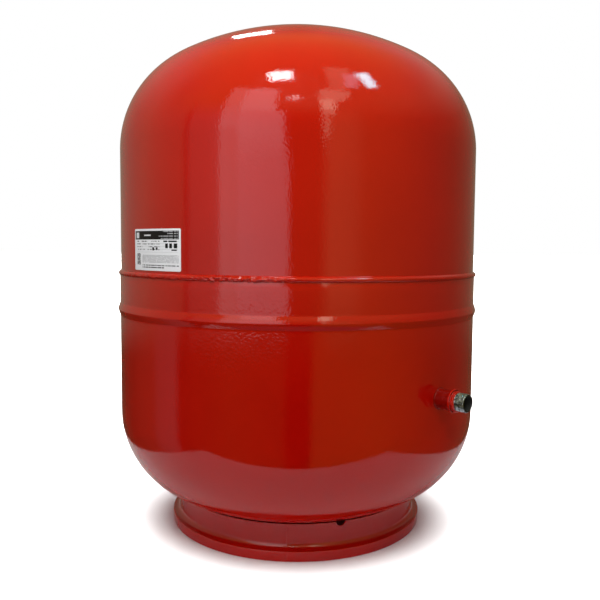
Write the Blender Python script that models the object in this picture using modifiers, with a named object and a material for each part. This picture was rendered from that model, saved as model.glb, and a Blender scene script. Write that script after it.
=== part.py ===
"""Floor-standing diaphragm expansion vessel for a heating system.

Two deep-drawn steel shells are welded round their girth over a rubber diaphragm. Gas is held
above the diaphragm and filled through a valve in a well at the top. Water comes in through a
threaded nipple on the side, which points along +X. The vessel stands on a pressed foot ring.
Metres, +Z up. The origin is on the floor, under the middle of the vessel with its nipple.
"""

import math

import bmesh
import bpy

# Driving dimensions of the body
LOWER_R = 0.2965
UPPER_R = 0.2945
BEAD_R = 0.300
WALL = 0.002
DOME_TOP = 0.816
UPPER_CROWN_R = 0.431
UPPER_KNUCKLE_R = 0.168
LOWER_CROWN_R = 0.475
LOWER_KNUCKLE_R = 0.147
LOWER_TANGENT_Z = 0.193
GIRTH_Z = 0.420
BEAD_Z = 0.361
GAP = 0.0003

# Girth joint: the lower shell's lip is stepped in and stands behind the upper shell
LIP_TOP_Z = GIRTH_Z + 0.012
LIP_R = UPPER_R - WALL - GAP
WELD_HALF = 0.004
WELD_R = LOWER_R + 0.002

# Foot ring
RING_R = 0.200
RING_WALL = 0.0025
RING_TOP_Z = 0.0526
HEM_R = 0.2125
HEM_WIDTH = 0.005
HEM_TOP_Z = 0.0155
SEAM_WIDTH = 0.0036
SEAM_AZIMUTH = -48.0
NOTCH_WIDTH = 0.015
NOTCH_DEPTH = 0.0068
NOTCH_AZIMUTH = -24.5
TACK_AZIMUTHS = (0.0, 90.0, 180.0, 270.0)

# Water connection, along +X
NOZZLE_Z = 0.2455
NIPPLE_END = 0.343
NIPPLE_R = 0.01322
NIPPLE_BORE_R = 0.0098
SOCKET_END = 0.3222
SOCKET_R = 0.0148
COLLAR_R = 0.0172
COLLAR_WIDTH = 0.003
PORT_R = SOCKET_R + GAP
# The vessel's axis stands back, so that the origin is under the middle of the whole object
AXIS_X = -(NIPPLE_END - BEAD_R) / 2

# Diaphragm and the ring that clamps its rim into the rolled bead
DIAPHRAGM_WALL = 0.003
DIAPHRAGM_GAP = 0.0007
DIAPHRAGM_RIM_Z = 0.372
CLAMP_RING_WALL = 0.004

# Gas valve in its well
WELL_R = 0.037
WELL_FLOOR_Z = 0.802
WELL_HOLE_R = 0.0103
STEM_TOP_Z = WELL_FLOOR_Z + 0.0155
STEM_THREAD_R = 0.00385
STEM_BORE_R = 0.00275
CORE_GAP = 0.0001
PIN_FOOT_DEPTH = 0.0113
PIN_TRAVEL = 0.0012
CAP_TRAVEL = 0.0052
CAP_BOTTOM_Z = STEM_TOP_Z - CAP_TRAVEL
COVER_RIM_R = 0.045

# Rating label, wrapped on the upper shell
LABEL_WIDTH = 0.111
LABEL_HEIGHT = 0.0595
LABEL_THICKNESS = 0.0004
LABEL_BOTTOM_Z = 0.4272
LABEL_AZIMUTH = -88.0

# Facets round a full turn
BODY_STEPS = 40
PIPE_STEPS = 24
SMALL_STEPS = 12
DOME_STEPS = 4

FINISHES = {
    "red_paint": ((0.50, 0.022, 0.008), 0.22, 0.0),
    "zinc": ((0.56, 0.56, 0.54), 0.35, 1.0),
    "brass": ((0.66, 0.48, 0.20), 0.30, 1.0),
    "spring_steel": ((0.60, 0.60, 0.62), 0.25, 1.0),
    "bare_steel": ((0.38, 0.37, 0.36), 0.45, 1.0),
    "butyl_rubber": ((0.03, 0.03, 0.03), 0.70, 0.0),
    "black_plastic": ((0.04, 0.04, 0.04), 0.45, 0.0),
    "label_film": ((0.86, 0.87, 0.88), 0.40, 0.0),
}


def clear_scene():
    for obj in list(bpy.data.objects):
        bpy.data.objects.remove(obj, do_unlink=True)


def finish(name):
    made = bpy.data.materials.get(name)
    if made:
        return made
    colour, roughness, metallic = FINISHES[name]
    made = bpy.data.materials.new(name)
    made.use_nodes = True
    shader = made.node_tree.nodes["Principled BSDF"]
    shader.inputs["Base Color"].default_value = (*colour, 1.0)
    shader.inputs["Roughness"].default_value = roughness
    shader.inputs["Metallic"].default_value = metallic
    return made


def collection(name):
    made = bpy.data.collections.new(name)
    bpy.context.scene.collection.children.link(made)
    return made


def add(name, mesh, finish_name, parent):
    obj = bpy.data.objects.new(name, mesh)
    if finish_name:
        mesh.materials.append(finish(finish_name))
        VESSEL.objects.link(obj)
    else:
        CUTTERS.objects.link(obj)
        obj.hide_render = True
        obj.display_type = "WIRE"
    obj.parent = parent
    return obj


def axis_empty(name, location, rotation=(0.0, 0.0, 0.0), parent=None):
    empty = bpy.data.objects.new(name, None)
    VESSEL.objects.link(empty)
    empty.location = location
    empty.rotation_euler = rotation
    empty.parent = parent
    return empty


def turned(name, profile, finish_name, parent, steps=BODY_STEPS, closed=True, angle=math.tau):
    """(radius, height) points turned about the parent's Z axis. They run down the outer side."""
    mesh = bpy.data.meshes.new(name)
    edges = [(i, i + 1) for i in range(len(profile) - 1)]
    if closed:
        edges.append((len(profile) - 1, 0))
    mesh.from_pydata([(r, 0.0, z) for r, z in profile], edges, [])
    obj = add(name, mesh, finish_name, parent)
    screw = obj.modifiers.new("turn", "SCREW")
    screw.axis = "Z"
    screw.angle = angle
    screw.steps = screw.render_steps = steps
    screw.use_merge_vertices = True
    screw.merge_threshold = 1e-6
    return obj


def add_wall(obj, thickness, side=-1.0):
    """Gives an open surface a wall: inwards for side -1, outwards for side +1."""
    solidify = obj.modifiers.new("wall", "SOLIDIFY")
    solidify.thickness = thickness
    solidify.offset = side
    solidify.use_even_offset = True


def boolean(obj, other, operation="DIFFERENCE"):
    modifier = obj.modifiers.new(operation.lower(), "BOOLEAN")
    modifier.operation = operation
    modifier.object = other


def box(name, size, parent, location, rotation_z=0.0):
    """A cutter block."""
    mesh = bpy.data.meshes.new(name)
    shape = bmesh.new()
    bmesh.ops.create_cube(shape, size=1.0)
    bmesh.ops.scale(shape, vec=size, verts=shape.verts)
    shape.to_mesh(mesh)
    shape.free()
    obj = add(name, mesh, None, parent)
    obj.location = location
    obj.rotation_euler.z = rotation_z
    return obj


def arc(centre, radius, first, last, steps):
    """Points on an arc. Angles are in degrees, from +radius towards +height."""
    angles = [math.radians(first + (last - first) * i / steps) for i in range(steps + 1)]
    return [(centre[0] + radius * math.cos(a), centre[1] + radius * math.sin(a)) for a in angles]


def dome_depth(shell_r, crown_r, knuckle_r):
    return crown_r - math.sqrt((crown_r - knuckle_r) ** 2 - (shell_r - knuckle_r) ** 2)


def dome(shell_r, crown_r, knuckle_r, inset=0.0, from_r=0.0):
    """(radius, height over the tangent line) of a dished end, from its middle to its tangent."""
    centre = dome_depth(shell_r, crown_r, knuckle_r) - crown_r
    joint = math.asin((shell_r - knuckle_r) / (crown_r - knuckle_r))
    start = math.asin(from_r / (crown_r - inset))
    points = []
    for i in range(DOME_STEPS):
        a = start + (joint - start) * i / DOME_STEPS
        points.append(((crown_r - inset) * math.sin(a), centre + (crown_r - inset) * math.cos(a)))
    for i in range(DOME_STEPS + 1):
        a = joint + (math.pi / 2 - joint) * i / DOME_STEPS
        radius = shell_r - knuckle_r + (knuckle_r - inset) * math.sin(a)
        points.append((radius, (knuckle_r - inset) * math.cos(a)))
    return points


def lower_dome(inset=0.0):
    """The lower shell's dished end at a depth under its outer face, from tangent to middle."""
    end = dome(LOWER_R, LOWER_CROWN_R, LOWER_KNUCKLE_R, inset)
    return [(r, LOWER_TANGENT_Z - h) for r, h in reversed(end)]


def swell(z, middle, half_height):
    """A smooth bump in a shell's wall: 1 at its middle, 0 at half_height from it."""
    if abs(z - middle) >= half_height:
        return 0.0
    return math.cos(math.pi * (z - middle) / (2 * half_height)) ** 2


def lower_wall_r(z):
    """Outer radius of the lower shell, with its rolled bead and the slight neck over it."""
    bead = (BEAD_R - LOWER_R) * swell(z, BEAD_Z, 0.013)
    neck = 0.0013 * swell(z, BEAD_Z + 0.0165, 0.008)
    return LOWER_R + bead - neck


def make_upper_shell(axis):
    tangent_z = DOME_TOP - dome_depth(UPPER_R, UPPER_CROWN_R, UPPER_KNUCKLE_R)
    rim_r = WELL_R + 0.004
    end = dome(UPPER_R, UPPER_CROWN_R, UPPER_KNUCKLE_R, from_r=rim_r + 0.002)
    rim_z = tangent_z + end[0][1] + 0.0002
    profile = [(WELL_HOLE_R, WELL_FLOOR_Z)]
    profile += arc((WELL_R - 0.003, WELL_FLOOR_Z + 0.003), 0.003, -90, 0, 2)
    profile += arc((rim_r, rim_z - 0.004), 0.004, 180, 95, 3)
    profile += [(r, tangent_z + h) for r, h in end]
    profile += [(UPPER_R, GIRTH_Z + 0.0015)]
    shell = turned("upper_shell", profile, "red_paint", axis, closed=False)
    add_wall(shell, WALL)


def make_lower_shell(axis, port_cutter):
    step_z = GIRTH_Z - 0.004
    profile = [(LIP_R, LIP_TOP_Z), (LIP_R, GIRTH_Z + 0.001), (LOWER_R, step_z)]
    bead_top = BEAD_Z + 0.026
    profile += [(lower_wall_r(z), z) for z in (bead_top - 0.026 / 6 * i for i in range(10))]
    profile += [(LOWER_R, BEAD_Z - 0.0145)]
    profile += lower_dome()
    shell = turned("lower_shell", profile, "red_paint", axis, closed=False)
    add_wall(shell, WALL)
    boolean(shell, port_cutter)


def make_girth_weld(axis):
    """The bead fills the groove between the two edges and stands over both."""
    face = LOWER_R + GAP
    root = LIP_R + 0.0012
    top, bottom = GIRTH_Z + WELD_HALF, GIRTH_Z - WELD_HALF
    profile = [(UPPER_R + GAP, top), (UPPER_R + 0.0022, top - 0.0004), (WELD_R, GIRTH_Z)]
    profile += [(WELD_R - 0.0006, bottom + 0.0006), (face, bottom)]
    profile += [(face, GIRTH_Z - 0.0030), (root + 0.0012, GIRTH_Z), (root, GIRTH_Z + 0.0011)]
    profile += [(UPPER_R + GAP, GIRTH_Z + 0.0011)]
    turned("girth_weld", profile, "red_paint", axis)


def make_diaphragm(axis):
    inside = WALL + DIAPHRAGM_GAP
    inner_r = LOWER_R - inside - DIAPHRAGM_WALL
    profile = list(reversed(lower_dome(inside + DIAPHRAGM_WALL)))
    profile += [(inner_r, DIAPHRAGM_RIM_Z)]
    rim_heights = [DIAPHRAGM_RIM_Z - 0.004 * i for i in range(7)]
    profile += [(lower_wall_r(z) - inside, z) for z in rim_heights]
    profile += lower_dome(inside)
    turned("diaphragm", profile, "butyl_rubber", axis, closed=False)


def make_clamp_ring(axis):
    outer = LOWER_R - WALL - DIAPHRAGM_GAP - DIAPHRAGM_WALL - 2 * GAP
    inner = outer - CLAMP_RING_WALL
    top, bottom = BEAD_Z + 0.013, BEAD_Z - 0.013
    profile = [(inner, top), (outer, top), (outer, bottom), (inner, bottom)]
    turned("diaphragm_clamp_ring", profile, "bare_steel", axis)


def ring_profile():
    """The foot ring's section: a wall with a rounded top, and an outward hem that it stands on."""
    inner_r = RING_R - RING_WALL
    hem_inner = HEM_R - HEM_WIDTH
    shelf_z = HEM_TOP_Z - RING_WALL
    profile = [(inner_r, RING_TOP_Z)]
    profile += arc((RING_R - 0.0022, RING_TOP_Z - 0.0026), 0.0022, 70, 0, 2)
    profile += arc((RING_R + 0.005, HEM_TOP_Z + 0.005), 0.005, 180, 270, 3)
    profile += arc((HEM_R - 0.0035, HEM_TOP_Z - 0.0035), 0.0035, 90, 0, 3)
    profile += [(HEM_R, 0.0012), (HEM_R - 0.0008, 0.0), (hem_inner + 0.0006, 0.0)]
    profile += [(hem_inner, 0.0008), (hem_inner, shelf_z)]
    profile += arc((inner_r + 0.007, shelf_z + 0.007), 0.007, 270, 180, 2)
    return profile


def make_foot_ring(axis):
    ring = turned("foot_ring", ring_profile(), "red_paint", axis)
    seam = math.radians(SEAM_AZIMUTH)
    place = ((RING_R + 0.004) * math.cos(seam), (RING_R + 0.004) * math.sin(seam), 0.028)
    slot = box("seam_slot", (0.030, SEAM_WIDTH, 0.070), axis, place, seam)
    boolean(ring, slot)
    notch = math.radians(NOTCH_AZIMUTH)
    bar = turned(
        "notch_bar", [(0, 0.02), (0.5, 0.02), (0.5, -0.02), (0, -0.02)], None, axis, PIPE_STEPS, False
    )
    bar.scale = (NOTCH_WIDTH, 2 * NOTCH_DEPTH, 1.0)
    bar.location = (RING_R * math.cos(notch), RING_R * math.sin(notch), RING_TOP_Z)
    bar.rotation_euler = (math.pi / 2, 0.0, notch + math.pi / 2)
    boolean(ring, bar)

    weld = turned("foot_ring_seam_weld", ring_profile(), "red_paint", axis)
    bar_size = (0.030, SEAM_WIDTH - 2 * GAP, 0.070)
    boolean(weld, box("seam_bar", bar_size, axis, place, seam), "INTERSECT")


def make_tack_welds(axis):
    """Lumps of weld on the inside, between the ring's top edge and the dished end."""
    for number, azimuth in enumerate(TACK_AZIMUTHS, 1):
        name = f"foot_tack_weld_{number}"
        mesh = bpy.data.meshes.new(name)
        shape = bmesh.new()
        bmesh.ops.create_uvsphere(shape, u_segments=12, v_segments=6, radius=1.0)
        bmesh.ops.scale(shape, vec=(0.0036, 0.009, 0.0028), verts=shape.verts)
        shape.to_mesh(mesh)
        shape.free()
        tack = add(name, mesh, "red_paint", axis)
        turn = math.radians(azimuth)
        radius = RING_R - RING_WALL - 0.0047
        tack.location = (radius * math.cos(turn), radius * math.sin(turn), RING_TOP_Z - 0.0062)
        tack.rotation_euler.z = turn


def make_water_connection(nozzle):
    """Pieces along the nozzle's own axis: a socket welded to the shell, and a nipple in it."""
    bore = NIPPLE_R + GAP
    inner_end = LOWER_R - WALL
    collar_back = SOCKET_END - COLLAR_WIDTH
    edge = 0.0008
    socket = [(bore, SOCKET_END), (COLLAR_R - edge, SOCKET_END), (COLLAR_R, SOCKET_END - edge)]
    socket += [(COLLAR_R, collar_back), (SOCKET_R, collar_back - edge)]
    socket += [(SOCKET_R, inner_end), (bore, inner_end)]
    turned("water_socket", socket, "red_paint", nozzle, PIPE_STEPS)

    foot = LOWER_R + GAP
    fillet_in, fillet_out = SOCKET_R + GAP, SOCKET_R + 0.0042
    fillet = [(fillet_in, foot + 0.0042), (SOCKET_R + 0.0016, foot + 0.0022)]
    fillet += [(fillet_out, foot + 0.0008), (fillet_out, foot), (fillet_in, foot)]
    turned("socket_weld", fillet, "red_paint", nozzle, PIPE_STEPS)

    seat = SOCKET_END + GAP
    bead = [(bore, seat + 0.0062), (bore + 0.0010, seat + 0.0059), (bore + 0.0018, seat + 0.0040)]
    bead += [(bore + 0.0018, seat), (bore, seat)]
    turned("nipple_weld", bead, "red_paint", nozzle, PIPE_STEPS)

    chamfer = 0.0012
    nipple = [(NIPPLE_BORE_R, NIPPLE_END), (NIPPLE_R - chamfer, NIPPLE_END)]
    nipple += [(NIPPLE_R, NIPPLE_END - chamfer), (NIPPLE_R, inner_end), (NIPPLE_BORE_R, inner_end)]
    turned("water_nipple", nipple, "zinc", nozzle, PIPE_STEPS)


def make_boss(axis):
    seat = WELL_FLOOR_Z + GAP
    flange_top = seat + 0.0022
    body_r = WELL_HOLE_R - GAP
    flange_r = 0.014
    bore = 0.0046
    boss = [(bore, flange_top), (flange_r, flange_top), (flange_r, seat), (body_r, seat)]
    boss += [(body_r, seat - 0.010), (bore, seat - 0.010)]
    turned("valve_boss", boss, "bare_steel", axis, 20)
    edge = flange_r + GAP
    weld = [(edge, flange_top), (edge + 0.0010, flange_top - 0.0006), (edge + 0.0026, seat), (edge, seat)]
    turned("valve_boss_weld", weld, "red_paint", axis, 20)
    gasket_z = flange_top + GAP
    gasket_top = gasket_z + 0.0012
    gasket = [(0.0047, gasket_top), (0.0072, gasket_top), (0.0072, gasket_z), (0.0047, gasket_z)]
    turned("valve_stem_seal", gasket, "butyl_rubber", axis, 16)
    return gasket_top + GAP


def make_stem(axis, hex_bottom):
    """A threaded brass stem with a hexagon, bored right through for its core."""
    shank_r = 0.0043
    foot_z = hex_bottom - 0.0115
    hex_height = 0.003
    profile = [(0.0, STEM_TOP_Z), (STEM_THREAD_R - 0.0004, STEM_TOP_Z)]
    profile += [(STEM_THREAD_R, STEM_TOP_Z - 0.0004), (STEM_THREAD_R, hex_bottom + 0.0015)]
    profile += [(shank_r, hex_bottom + 0.0014), (shank_r, foot_z), (0.0, foot_z)]
    stem = turned("valve_stem", profile, "brass", axis, 16, closed=False)
    mesh = bpy.data.meshes.new("stem_hexagon")
    shape = bmesh.new()
    bmesh.ops.create_cone(
        shape, cap_ends=True, segments=6, radius1=0.0075, radius2=0.0075, depth=hex_height
    )
    shape.to_mesh(mesh)
    shape.free()
    hexagon = add("stem_hexagon", mesh, None, axis)
    hexagon.location.z = hex_bottom + hex_height / 2
    boolean(stem, hexagon, "UNION")
    throat = 0.0016
    chamber_z = STEM_TOP_Z - PIN_FOOT_DEPTH - PIN_TRAVEL - 0.0015
    bore = [(0.0, STEM_TOP_Z + 0.001), (STEM_BORE_R, STEM_TOP_Z + 0.001), (STEM_BORE_R, chamber_z)]
    bore += [(throat, chamber_z), (throat, foot_z - 0.001), (0.0, foot_z - 0.001)]
    boolean(stem, turned("stem_bore", bore, None, axis, SMALL_STEPS, closed=False))


def make_core(axis):
    """The valve core: a body screwed in the stem, and a sprung pin that carries the seal."""
    top = STEM_TOP_Z - 0.0010
    bottom = top - 0.0080
    shoulder = bottom + 0.0025
    outer = STEM_BORE_R - 0.0003
    wide, narrow, groove = 0.00195, 0.0009, 0.0020
    body = [(wide, top), (outer, top), (outer, bottom + 0.0020), (groove, bottom + 0.0020)]
    body += [(groove, bottom + 0.0008), (outer, bottom + 0.0008), (outer, bottom)]
    body += [(narrow, bottom), (narrow, shoulder), (wide, shoulder)]
    turned("valve_core_body", body, "brass", axis, SMALL_STEPS)

    seal_in, seal_out = groove + CORE_GAP, STEM_BORE_R - CORE_GAP
    seal_top, seal_bottom = bottom + 0.0020 - CORE_GAP, bottom + 0.0008 + CORE_GAP
    seal = [(seal_in, seal_top), (seal_out, seal_top), (seal_out, seal_bottom), (seal_in, seal_bottom)]
    turned("valve_core_seal", seal, "butyl_rubber", axis, SMALL_STEPS)

    shaft, collar_r, foot_r = 0.0005, 0.0015, 0.0013
    collar = shoulder + 0.0040
    disc_top, disc_bottom = bottom - CORE_GAP, bottom - CORE_GAP - 0.0013
    foot_top, foot_bottom = disc_bottom - CORE_GAP, STEM_TOP_Z - PIN_FOOT_DEPTH
    pin = [(0.0, STEM_TOP_Z - 0.0003), (shaft, STEM_TOP_Z - 0.0003), (shaft, collar + 0.0008)]
    pin += [(collar_r, collar + 0.0008), (collar_r, collar), (shaft, collar), (shaft, foot_top)]
    pin += [(foot_r, foot_top), (foot_r, foot_bottom), (0.0, foot_bottom)]
    turned("valve_pin", pin, "spring_steel", axis, SMALL_STEPS, closed=False)

    disc = [(0.0006, disc_top), (0.0019, disc_top), (0.0019, disc_bottom), (0.0006, disc_bottom)]
    turned("valve_pin_seal", disc, "butyl_rubber", axis, SMALL_STEPS)
    make_spring(axis, shoulder + CORE_GAP, collar - CORE_GAP)


def make_spring(axis, bottom, top):
    """A closed-end coil round the pin."""
    wire_r, coil_r, turns, per_turn = 0.00018, 0.00125, 4, 8
    count = turns * per_turn
    curve = bpy.data.curves.new("valve_spring", "CURVE")
    curve.dimensions = "3D"
    curve.bevel_depth = wire_r
    curve.bevel_resolution = 2
    curve.use_fill_caps = True
    spline = curve.splines.new("POLY")
    spline.points.add(count)
    rise = top - bottom - 2 * wire_r
    for i in range(count + 1):
        turn = math.tau * i / per_turn
        height = bottom + wire_r + rise * i / count
        spline.points[i].co = (coil_r * math.cos(turn), coil_r * math.sin(turn), height, 1.0)
    add("valve_spring", curve, "spring_steel", axis)


def make_dust_cap(axis):
    washer_z = STEM_TOP_Z + CORE_GAP
    washer_top = washer_z + 0.0006
    washer = [(0.0, washer_top), (0.0039, washer_top), (0.0039, washer_z), (0.0, washer_z)]
    turned("dust_cap_washer", washer, "butyl_rubber", axis, 16, closed=False)
    inside = washer_top + CORE_GAP
    top = inside + 0.0010
    outer_r, inner_r = 0.0056, 0.0042
    cap = [(0.0, top), (outer_r - 0.0008, top), (outer_r, top - 0.0008), (outer_r, CAP_BOTTOM_Z)]
    cap += [(inner_r, CAP_BOTTOM_Z), (inner_r, inside), (0.0, inside)]
    turned("valve_dust_cap", cap, "black_plastic", axis, 16, closed=False)


def make_cover(axis):
    """A plastic lid: a skirt that plugs the well, and a low crown with a rim on the dished end."""
    skirt_r = WELL_R - 0.0006
    skirt_in = skirt_r - 0.0016
    skirt_z = WELL_FLOOR_Z + 0.0030
    seat_z = 0.8146
    cover = [(0.0, 0.8274), (0.018, 0.8264), (0.032, 0.8221), (0.040, 0.8172)]
    cover += [(COVER_RIM_R, 0.8156), (COVER_RIM_R, 0.8144), (skirt_r, seat_z), (skirt_r, skirt_z)]
    cover += [(skirt_in, skirt_z), (skirt_in, 0.8178), (0.030, 0.8207), (0.017, 0.8243), (0.0, 0.8252)]
    turned("valve_cover", cover, "black_plastic", axis, PIPE_STEPS, closed=False)


def make_label(axis):
    """A printed film wrapped on the upper shell, centred on its azimuth."""
    inner_r = UPPER_R + GAP
    width = LABEL_WIDTH / inner_r
    edge = [(inner_r, LABEL_BOTTOM_Z + LABEL_HEIGHT), (inner_r, LABEL_BOTTOM_Z)]
    label = turned("rating_label", edge, "label_film", axis, 8, closed=False, angle=width)
    add_wall(label, LABEL_THICKNESS, 1.0)
    label.rotation_euler.z = math.radians(LABEL_AZIMUTH) - width / 2


def main():
    axis = axis_empty("vessel_axis", (AXIS_X, 0.0, 0.0))
    nozzle = axis_empty("nozzle_axis", (0.0, 0.0, NOZZLE_Z), (0.0, math.pi / 2, 0.0), axis)
    port = [(0.0, LOWER_R + 0.01), (PORT_R, LOWER_R + 0.01), (PORT_R, LOWER_R - 0.02), (0.0, LOWER_R - 0.02)]
    port_cutter = turned("port_cutter", port, None, nozzle, PIPE_STEPS, closed=False)
    make_upper_shell(axis)
    make_lower_shell(axis, port_cutter)
    make_girth_weld(axis)
    make_diaphragm(axis)
    make_clamp_ring(axis)
    make_foot_ring(axis)
    make_tack_welds(axis)
    make_water_connection(nozzle)
    make_stem(axis, make_boss(axis))
    make_core(axis)
    make_dust_cap(axis)
    make_cover(axis)
    make_label(axis)


clear_scene()
VESSEL = collection("expansion_vessel")
CUTTERS = collection("cutters")
main()
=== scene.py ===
"""Looks of a floor-standing diaphragm expansion vessel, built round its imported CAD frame."""
import math

import bmesh
import bpy
from mathutils import Matrix, Vector, noise


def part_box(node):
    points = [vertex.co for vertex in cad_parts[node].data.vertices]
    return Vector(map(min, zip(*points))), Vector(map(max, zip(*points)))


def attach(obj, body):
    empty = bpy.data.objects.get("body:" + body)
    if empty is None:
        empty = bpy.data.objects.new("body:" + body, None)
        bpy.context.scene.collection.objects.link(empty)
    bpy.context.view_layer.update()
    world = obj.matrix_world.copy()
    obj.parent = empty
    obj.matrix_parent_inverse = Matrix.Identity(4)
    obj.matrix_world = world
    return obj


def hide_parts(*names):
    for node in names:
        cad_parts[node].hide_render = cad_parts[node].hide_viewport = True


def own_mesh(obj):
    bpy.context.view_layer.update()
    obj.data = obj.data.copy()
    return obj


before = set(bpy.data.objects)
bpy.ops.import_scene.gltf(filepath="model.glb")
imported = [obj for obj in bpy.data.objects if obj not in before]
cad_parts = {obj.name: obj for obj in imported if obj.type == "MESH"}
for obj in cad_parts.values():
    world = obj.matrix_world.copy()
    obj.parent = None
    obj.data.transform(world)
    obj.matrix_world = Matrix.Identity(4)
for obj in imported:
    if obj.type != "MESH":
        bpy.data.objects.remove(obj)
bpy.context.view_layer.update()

# ---- places, read from the frame


def middle(node):
    low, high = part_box(node)
    return (low + high) / 2


def radius_of(node):
    """Outer radius of a node that is turned about the vessel's or the nozzle's axis."""
    low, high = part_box(node)
    return (high.y - low.y) / 2


def bottom_of(node):
    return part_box(node)[0].z


def top_of(node):
    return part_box(node)[1].z


def span(node):
    """Lowest and highest point of a node, and its outer radius."""
    return bottom_of(node), top_of(node), radius_of(node)


AXIS_X = middle("upper_shell").x
UPPER_R = radius_of("upper_shell")
BEAD_R = radius_of("lower_shell")
BEAD_RISE = 0.0035
# Half width of the bead's flank, and the power that shapes it, over and under its middle
BEAD_ABOVE = (0.0107, 1.35)
BEAD_BELOW = (0.0094, 1.2)
# How far above and below its middle the wall is drawn finely
BEAD_REACH = 0.017
SHEET_WAVE = 0.00025
LOWER_R = BEAD_R - BEAD_RISE
WALL = 0.002
LIP_TOP_Z = top_of("lower_shell")
GIRTH_Z = middle("girth_weld").z
BEAD_Z = middle("diaphragm_clamp_ring").z

# Dished ends: crown and knuckle radii, and where each end is highest or lowest
UPPER_CROWN_R = 0.431
UPPER_KNUCKLE_R = 0.168
DOME_TOP = 0.816
LOWER_CROWN_R = 0.475
LOWER_KNUCKLE_R = 0.147
LOWER_TANGENT_Z = 0.193

# Top well
WELL_R = 0.037
WELL_FLOOR_Z = bottom_of("valve_boss_weld") - 0.0003
WELL_HOLE_R = 0.0103

# Foot ring
RING_R = 0.200
RING_WALL = 0.0025
RING_TOP_Z = top_of("foot_ring")
HEM_R = radius_of("foot_ring")
HEM_WIDTH = 0.005
HEM_TOP_Z = 0.0155
SEAM_AZIMUTH = math.radians(-48.0)
SEAM_HALF_WIDTH = 0.0015
NOTCH_AZIMUTH = math.radians(-24.5)
NOTCH_RADII = (0.0075, 0.0068)

# Nozzle, along +X from the vessel's axis
NOZZLE_Z = middle("water_nipple").z
NIPPLE_R = radius_of("water_nipple")
NIPPLE_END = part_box("water_nipple")[1].x - AXIS_X
NOZZLE_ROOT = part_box("water_nipple")[0].x - AXIS_X
NIPPLE_BORE_R = 0.0098
COLLAR_R = radius_of("water_socket")
COLLAR_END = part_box("water_socket")[1].x - AXIS_X
SOCKET_R = 0.0148
PIPE_PITCH = 0.001814
PIPE_THREAD_DEPTH = 0.00105

# Label
LABEL_AZIMUTH = math.radians(-88.0)
LABEL_WIDTH = 0.111

# Steps round a full turn
BODY_STEPS = 288
WELD_STEPS = 1440
PIPE_STEPS = 96
SMALL_STEPS = 64
# Steps along a dished end
CROWN_STEPS = 22
KNUCKLE_STEPS = 30

# Camera, and the studio's own directions: to the camera's right, and away from it
VIEW_AZIMUTH = math.radians(45.4)
RIGHT = Vector((math.cos(VIEW_AZIMUTH), math.sin(VIEW_AZIMUTH), 0.0))
AWAY = Vector((-RIGHT.y, RIGHT.x, 0.0))
CAMERA_PLACE = (0.00487, -1.216, 0.4639)
CAMERA_LENS = 42.28
CAMERA_PITCH = math.radians(4.39)
CAMERA_ROLL = math.radians(0.41)


def studio(right, away, up):
    """A point given from the vessel's axis in the studio's directions."""
    return Vector((AXIS_X, 0.0, up)) + right * RIGHT + away * AWAY


# ---- mesh building

def levels(first, last, steps):
    """Values at even steps, from the first to the last."""
    return [first + (last - first) * i / steps for i in range(steps + 1)]


def arc(centre, radius, first, last, steps):
    """Points on an arc. Angles are in degrees, from +radius towards +height."""
    angles = [math.radians(degrees) for degrees in levels(first, last, steps)]
    return [(centre[0] + radius * math.cos(a), centre[1] + radius * math.sin(a)) for a in angles]


def run(first, last, steps):
    """Points on a straight run, without its first point."""
    return list(zip(levels(first[0], last[0], steps), levels(first[1], last[1], steps)))[1:]


def offset(profile, distance):
    """The profile moved to the left of its direction, with square corners kept square."""
    moved = []
    last = len(profile) - 1
    for i, (r, z) in enumerate(profile):
        before, after = profile[max(i - 1, 0)], profile[min(i + 1, last)]
        normals = []
        for (r0, z0), (r1, z1) in ((before, (r, z)), ((r, z), after)):
            length = math.hypot(r1 - r0, z1 - z0)
            if length > 1e-9:
                normals.append(((z0 - z1) / length, (r1 - r0) / length))
        nr = sum(n[0] for n in normals)
        nz = sum(n[1] for n in normals)
        scale = distance * len(normals) / (nr * nr + nz * nz)
        moved.append((max(r + nr * scale, 0.0), z + nz * scale))
    return moved


def walled(profile, wall):
    """A closed section: the profile, and back along its inner side."""
    return profile + list(reversed(offset(profile, -wall)))


def round_at(r, angle):
    """The two coordinates of a point on a circle."""
    return r * math.cos(angle), r * math.sin(angle)


def on_vessel(r, height, angle):
    x, y = round_at(r, angle)
    return Vector((AXIS_X + x, y, height))


def on_nozzle(r, height, angle):
    y, z = round_at(r, angle)
    return Vector((AXIS_X + height, y, NOZZLE_Z + z))


def add_object(name, data):
    obj = bpy.data.objects.new(name, data)
    bpy.context.scene.collection.objects.link(obj)
    return obj


def shade(mesh, sharp):
    """Smooth shading, but for edges that are sharper than this many degrees."""
    mesh.shade_smooth()
    mesh.set_sharp_from_angle(angle=math.radians(sharp))


def finish_mesh(name, shape, material, sharp=30.0):
    """Turns a bmesh into a shaded object."""
    bmesh.ops.recalc_face_normals(shape, faces=shape.faces)
    mesh = bpy.data.meshes.new(name)
    shape.to_mesh(mesh)
    shape.free()
    mesh.materials.append(material)
    shade(mesh, sharp)
    return add_object(name, mesh)


def skin(shape, loops, closed):
    """Faces from each loop of corners to the next, and end caps where the loops don't close."""
    for here, there in zip(loops, loops[1:] + loops[:closed]):
        for k in range(len(here)):
            after = (k + 1) % len(here)
            corners = list(dict.fromkeys((here[k], here[after], there[after], there[k])))
            if len(corners) > 2:
                shape.faces.new(corners)
    if not closed:
        shape.faces.new(loops[0])
        shape.faces.new(loops[-1])


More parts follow.
